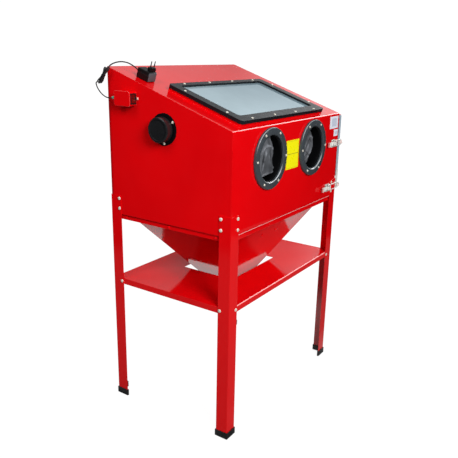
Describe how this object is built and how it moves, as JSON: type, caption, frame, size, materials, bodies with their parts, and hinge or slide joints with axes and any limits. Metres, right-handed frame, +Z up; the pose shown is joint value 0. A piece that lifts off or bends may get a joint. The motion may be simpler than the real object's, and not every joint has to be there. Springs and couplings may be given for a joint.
{
  "type": "sandblast cabinet",
  "caption": "Free-standing blast cabinet with sloping window, glove ports, side door with draw latches, media hopper, shelf, switch box and dust port.",
  "frame": {"origin": "centre of the legs' footprint on the floor", "axes": "+X to the door side (right, seen from the front), +Y to the back, +Z up"},
  "size_m": [0.912, 0.6071, 1.3809],
  "materials": {
    "red_paint": "gloss",
    "zinc_plate": "satin",
    "bare_steel": "satin",
    "black_plastic": "satin",
    "black_rubber": "matte",
    "glove_rubber": "matte",
    "window_glass": "clear",
    "lamp_white": "gloss",
    "lamp_lens": "frosted",
    "trim_grey": "satin",
    "green_plastic": "satin",
    "switch_red": "gloss",
    "ceramic": "satin",
    "brass": "satin",
    "yellow_film": "satin",
    "white_film": "satin"
  },
  "bodies": {
    "cabinet": {"left_side_panel": "red_paint", "right_side_panel": "red_paint", "front_roof_panel": "red_paint", "back_panel": "red_paint", "hopper": "red_paint", "hopper_screws": "zinc_plate", "gate_rails": "red_paint", "work_grate": "bare_steel", "shelf": "red_paint", "front_left_leg": "red_paint", "front_right_leg": "red_paint", "rear_left_leg": "red_paint", "rear_right_leg": "red_paint", "rubber_feet": "black_rubber", "frame_bolts": "zinc_plate", "window_gasket": "black_rubber", "window_glass": "window_glass", "window_frame": "black_plastic", "window_screws": "zinc_plate", "left_glove_ring": "black_plastic", "right_glove_ring": "black_plastic", "glove_ring_screws": "zinc_plate", "left_glove": "glove_rubber", "right_glove": "glove_rubber", "frame_hinge_leaves": "zinc_plate", "hinge_pins": "bare_steel", "upper_latch_base": "zinc_plate", "lower_latch_base": "zinc_plate", "switch_box": "red_paint", "switch_housing": "black_plastic", "cable_gland": "green_plastic", "power_cable": "black_rubber", "power_adapter": "black_plastic", "plug_pins": "bare_steel", "dust_port": "black_plastic", "left_wall_screws": "zinc_plate", "lamp_housing": "lamp_white", "lamp_lens": "lamp_lens", "gun_body": "bare_steel", "gun_nozzle": "ceramic", "air_hose": "black_rubber", "media_hose": "black_rubber", "pickup_tube": "bare_steel", "air_inlet": "brass", "yellow_label": "yellow_film", "white_labels": "white_film"},
    "door": {"side_door": "red_paint", "door_gasket": "black_rubber", "door_edge_trim": "trim_grey", "door_hinge_leaves": "zinc_plate", "upper_keeper": "zinc_plate", "lower_keeper": "zinc_plate"},
    "upper_lever": {"upper_latch_lever": "zinc_plate"},
    "upper_bail": {"upper_latch_bail": "zinc_plate"},
    "lower_lever": {"lower_latch_lever": "zinc_plate"},
    "lower_bail": {"lower_latch_bail": "zinc_plate"},
    "rocker": {"switch_rocker": "switch_red"},
    "trigger": {"gun_trigger": "switch_red"},
    "gate": {"drain_gate": "zinc_plate"},
    "port_cap": {"dust_cap": "black_plastic"}
  },
  "joints": [
    {"name": "door_swing", "type": "hinge", "parent": "cabinet", "child": "door", "pos_m": [0.45, 0.276, 1.05], "axis": [0, 0, 1], "range_deg": [0, 110]},
    {"name": "upper_lever_turn", "type": "hinge", "parent": "cabinet", "child": "upper_lever", "pos_m": [0.38, -0.291, 1.043], "axis": [0, 0, 1], "range_deg": [0, 150]},
    {"name": "upper_bail_turn", "type": "hinge", "parent": "upper_lever", "child": "upper_bail", "pos_m": [0.366, -0.289, 1.043], "axis": [0, 0, 1], "range_deg": [-150, 0]},
    {"name": "lower_lever_turn", "type": "hinge", "parent": "cabinet", "child": "lower_lever", "pos_m": [0.346, -0.291, 0.85], "axis": [0, 0, 1], "range_deg": [0, 150]},
    {"name": "lower_bail_turn", "type": "hinge", "parent": "lower_lever", "child": "lower_bail", "pos_m": [0.332, -0.289, 0.85], "axis": [0, 0, 1], "range_deg": [-150, 0]},
    {"name": "rocker_tip", "type": "hinge", "parent": "cabinet", "child": "rocker", "pos_m": [-0.437, 0.14, 1.2515], "axis": [1, 0, 0], "range_deg": [0, 20]},
    {"name": "trigger_pull", "type": "hinge", "parent": "cabinet", "child": "trigger", "pos_m": [0.198, -0.056, 0.80615], "axis": [0, 0, -1], "range_deg": [0, 14]},
    {"name": "gate_slide", "type": "slide", "parent": "cabinet", "child": "gate", "axis": [0, -1, 0], "range_m": [0, 0.085]},
    {"name": "cap_pull", "type": "slide", "parent": "cabinet", "child": "port_cap", "axis": [-1, 0, 0], "range_m": [0, 0.045]}
  ],
  "couplings": [
    {"joint": "upper_bail_turn", "follows": "upper_lever_turn", "ratio": -1},
    {"joint": "lower_bail_turn", "follows": "lower_lever_turn", "ratio": -1}
  ]
}
